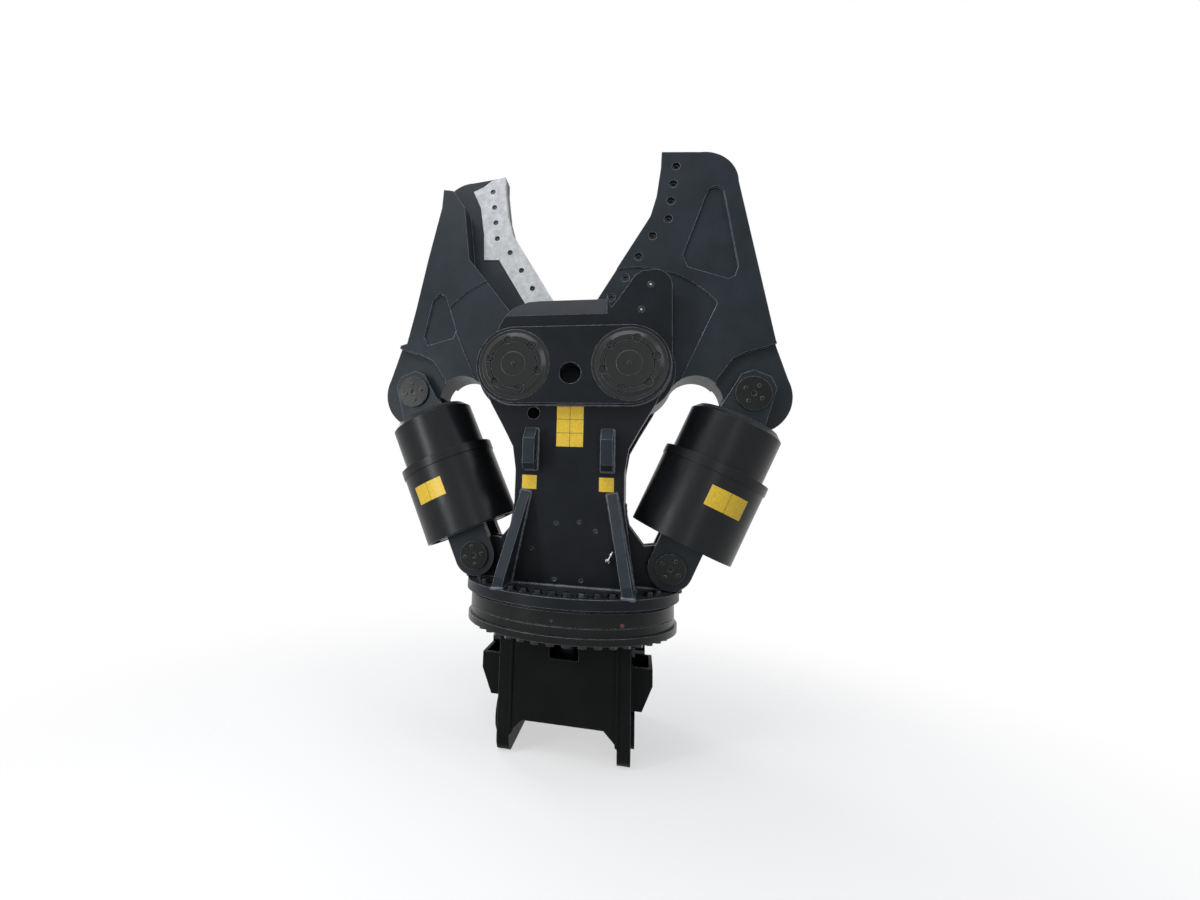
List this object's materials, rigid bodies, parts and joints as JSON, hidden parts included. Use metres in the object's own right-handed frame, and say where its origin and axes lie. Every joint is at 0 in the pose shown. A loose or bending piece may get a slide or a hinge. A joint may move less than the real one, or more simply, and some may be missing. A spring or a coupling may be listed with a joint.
{
  "type": "rotating twin-jaw demolition shear",
  "caption": "Rotating hydraulic demolition shear: two interleaving bladed jaws with guarded cylinders on a slewing frame above a pin-on bracket.",
  "frame": {"origin": "ground level on the slewing axis, at the centre of the rectangle that the part covers", "axes": "+Z along the slewing axis from the bracket to the jaws, +X towards the right jaw seen from the front, -Y towards the front as pictured"},
  "size_m": [1.697, 0.854, 2.442],
  "materials": {
    "body_paint": "satin",
    "dark_parts": "satin",
    "blade_steel": "matte",
    "bright_steel": "satin",
    "bronze": "satin"
  },
  "bodies": {
    "mount": {"mount_ear_left": "body_paint", "mount_ear_right": "body_paint", "mount_front_panel": "body_paint", "mount_rear_panel": "body_paint", "mount_flange": "body_paint", "mount_flange_bolts": "dark_parts", "inner_race": "bright_steel", "swivel_core": "bright_steel", "port_guards": "body_paint", "port_fittings": "bright_steel", "slew_balls": "bright_steel"},
    "frame": {"outer_race": "bright_steel", "base_flange": "body_paint", "base_flange_bolts": "dark_parts", "front_plate": "body_paint", "rear_plate": "body_paint", "front_hub_plate": "body_paint", "rear_hub_plate": "body_paint", "head_block": "body_paint", "side_webs": "body_paint", "gussets": "body_paint", "cylinder_lugs": "body_paint", "lug_bushes": "bronze", "lifting_lugs": "body_paint", "swivel_housing": "dark_parts", "slew_motor": "dark_parts", "pivot_pin_right": "dark_parts", "pivot_pin_left": "dark_parts", "pin_retainers": "body_paint", "retainer_bolts": "dark_parts", "jaw_guides": "bright_steel"},
    "pinion": {"slew_pinion": "bright_steel"},
    "jaw_right": {"jaw_right": "body_paint", "tip_blade_right": "blade_steel", "throat_blade_right": "blade_steel", "blade_bolts_right": "dark_parts", "hub_bush_right": "bronze"},
    "jaw_left": {"jaw_left": "body_paint", "tip_blade_left": "blade_steel", "throat_blade_left": "blade_steel", "blade_bolts_left": "dark_parts", "hub_bush_left": "bronze"},
    "barrel_right": {"barrel_right": "dark_parts", "gland_right": "bright_steel", "lower_sleeve_right": "body_paint", "base_pin_right": "dark_parts"},
    "rod_right": {"rod_right": "dark_parts", "piston_right": "bright_steel", "upper_sleeve_right": "body_paint", "rod_pin_right": "dark_parts"},
    "barrel_left": {"barrel_left": "dark_parts", "gland_left": "bright_steel", "lower_sleeve_left": "body_paint", "base_pin_left": "dark_parts"},
    "rod_left": {"rod_left": "dark_parts", "piston_left": "bright_steel", "upper_sleeve_left": "body_paint", "rod_pin_left": "dark_parts"}
  },
  "joints": [
    {"name": "slew", "type": "hinge", "parent": "mount", "child": "frame", "pos_m": [0, 0, 0.535], "axis": [0, 0, 1], "continuous": true},
    {"name": "pinion_spin", "type": "hinge", "parent": "frame", "child": "pinion", "pos_m": [0, 0.24, 0.535], "axis": [0, 0, 1], "continuous": true},
    {"name": "jaw_right_close", "type": "hinge", "parent": "frame", "child": "jaw_right", "pos_m": [0.23, 0, 1.484], "axis": [0, -1, 0], "range_deg": [0, 28]},
    {"name": "jaw_left_close", "type": "hinge", "parent": "frame", "child": "jaw_left", "pos_m": [-0.23, 0, 1.484], "axis": [0, 1, 0], "range_deg": [0, 28]},
    {"name": "barrel_right_swing", "type": "hinge", "parent": "frame", "child": "barrel_right", "pos_m": [0.388, 0, 0.706], "axis": [0, -1, 0], "range_deg": [0, 5.9]},
    {"name": "rod_right_slide", "type": "slide", "parent": "barrel_right", "child": "rod_right", "axis": [0.4137, 0, 0.9104], "range_m": [0, 0.2155]},
    {"name": "barrel_left_swing", "type": "hinge", "parent": "frame", "child": "barrel_left", "pos_m": [-0.388, 0, 0.706], "axis": [0, 1, 0], "range_deg": [0, 5.9]},
    {"name": "rod_left_slide", "type": "slide", "parent": "barrel_left", "child": "rod_left", "axis": [-0.4137, 0, 0.9104], "range_m": [0, 0.2155]}
  ],
  "couplings": [
    {"joint": "pinion_spin", "follows": "slew", "ratio": -6},
    {"joint": "barrel_right_swing", "follows": "jaw_right_close", "ratio": 0.209},
    {"joint": "rod_right_slide", "follows": "jaw_right_close", "m_per_rad": 0.4404},
    {"joint": "barrel_left_swing", "follows": "jaw_left_close", "ratio": 0.209},
    {"joint": "rod_left_slide", "follows": "jaw_left_close", "m_per_rad": 0.4404}
  ]
}
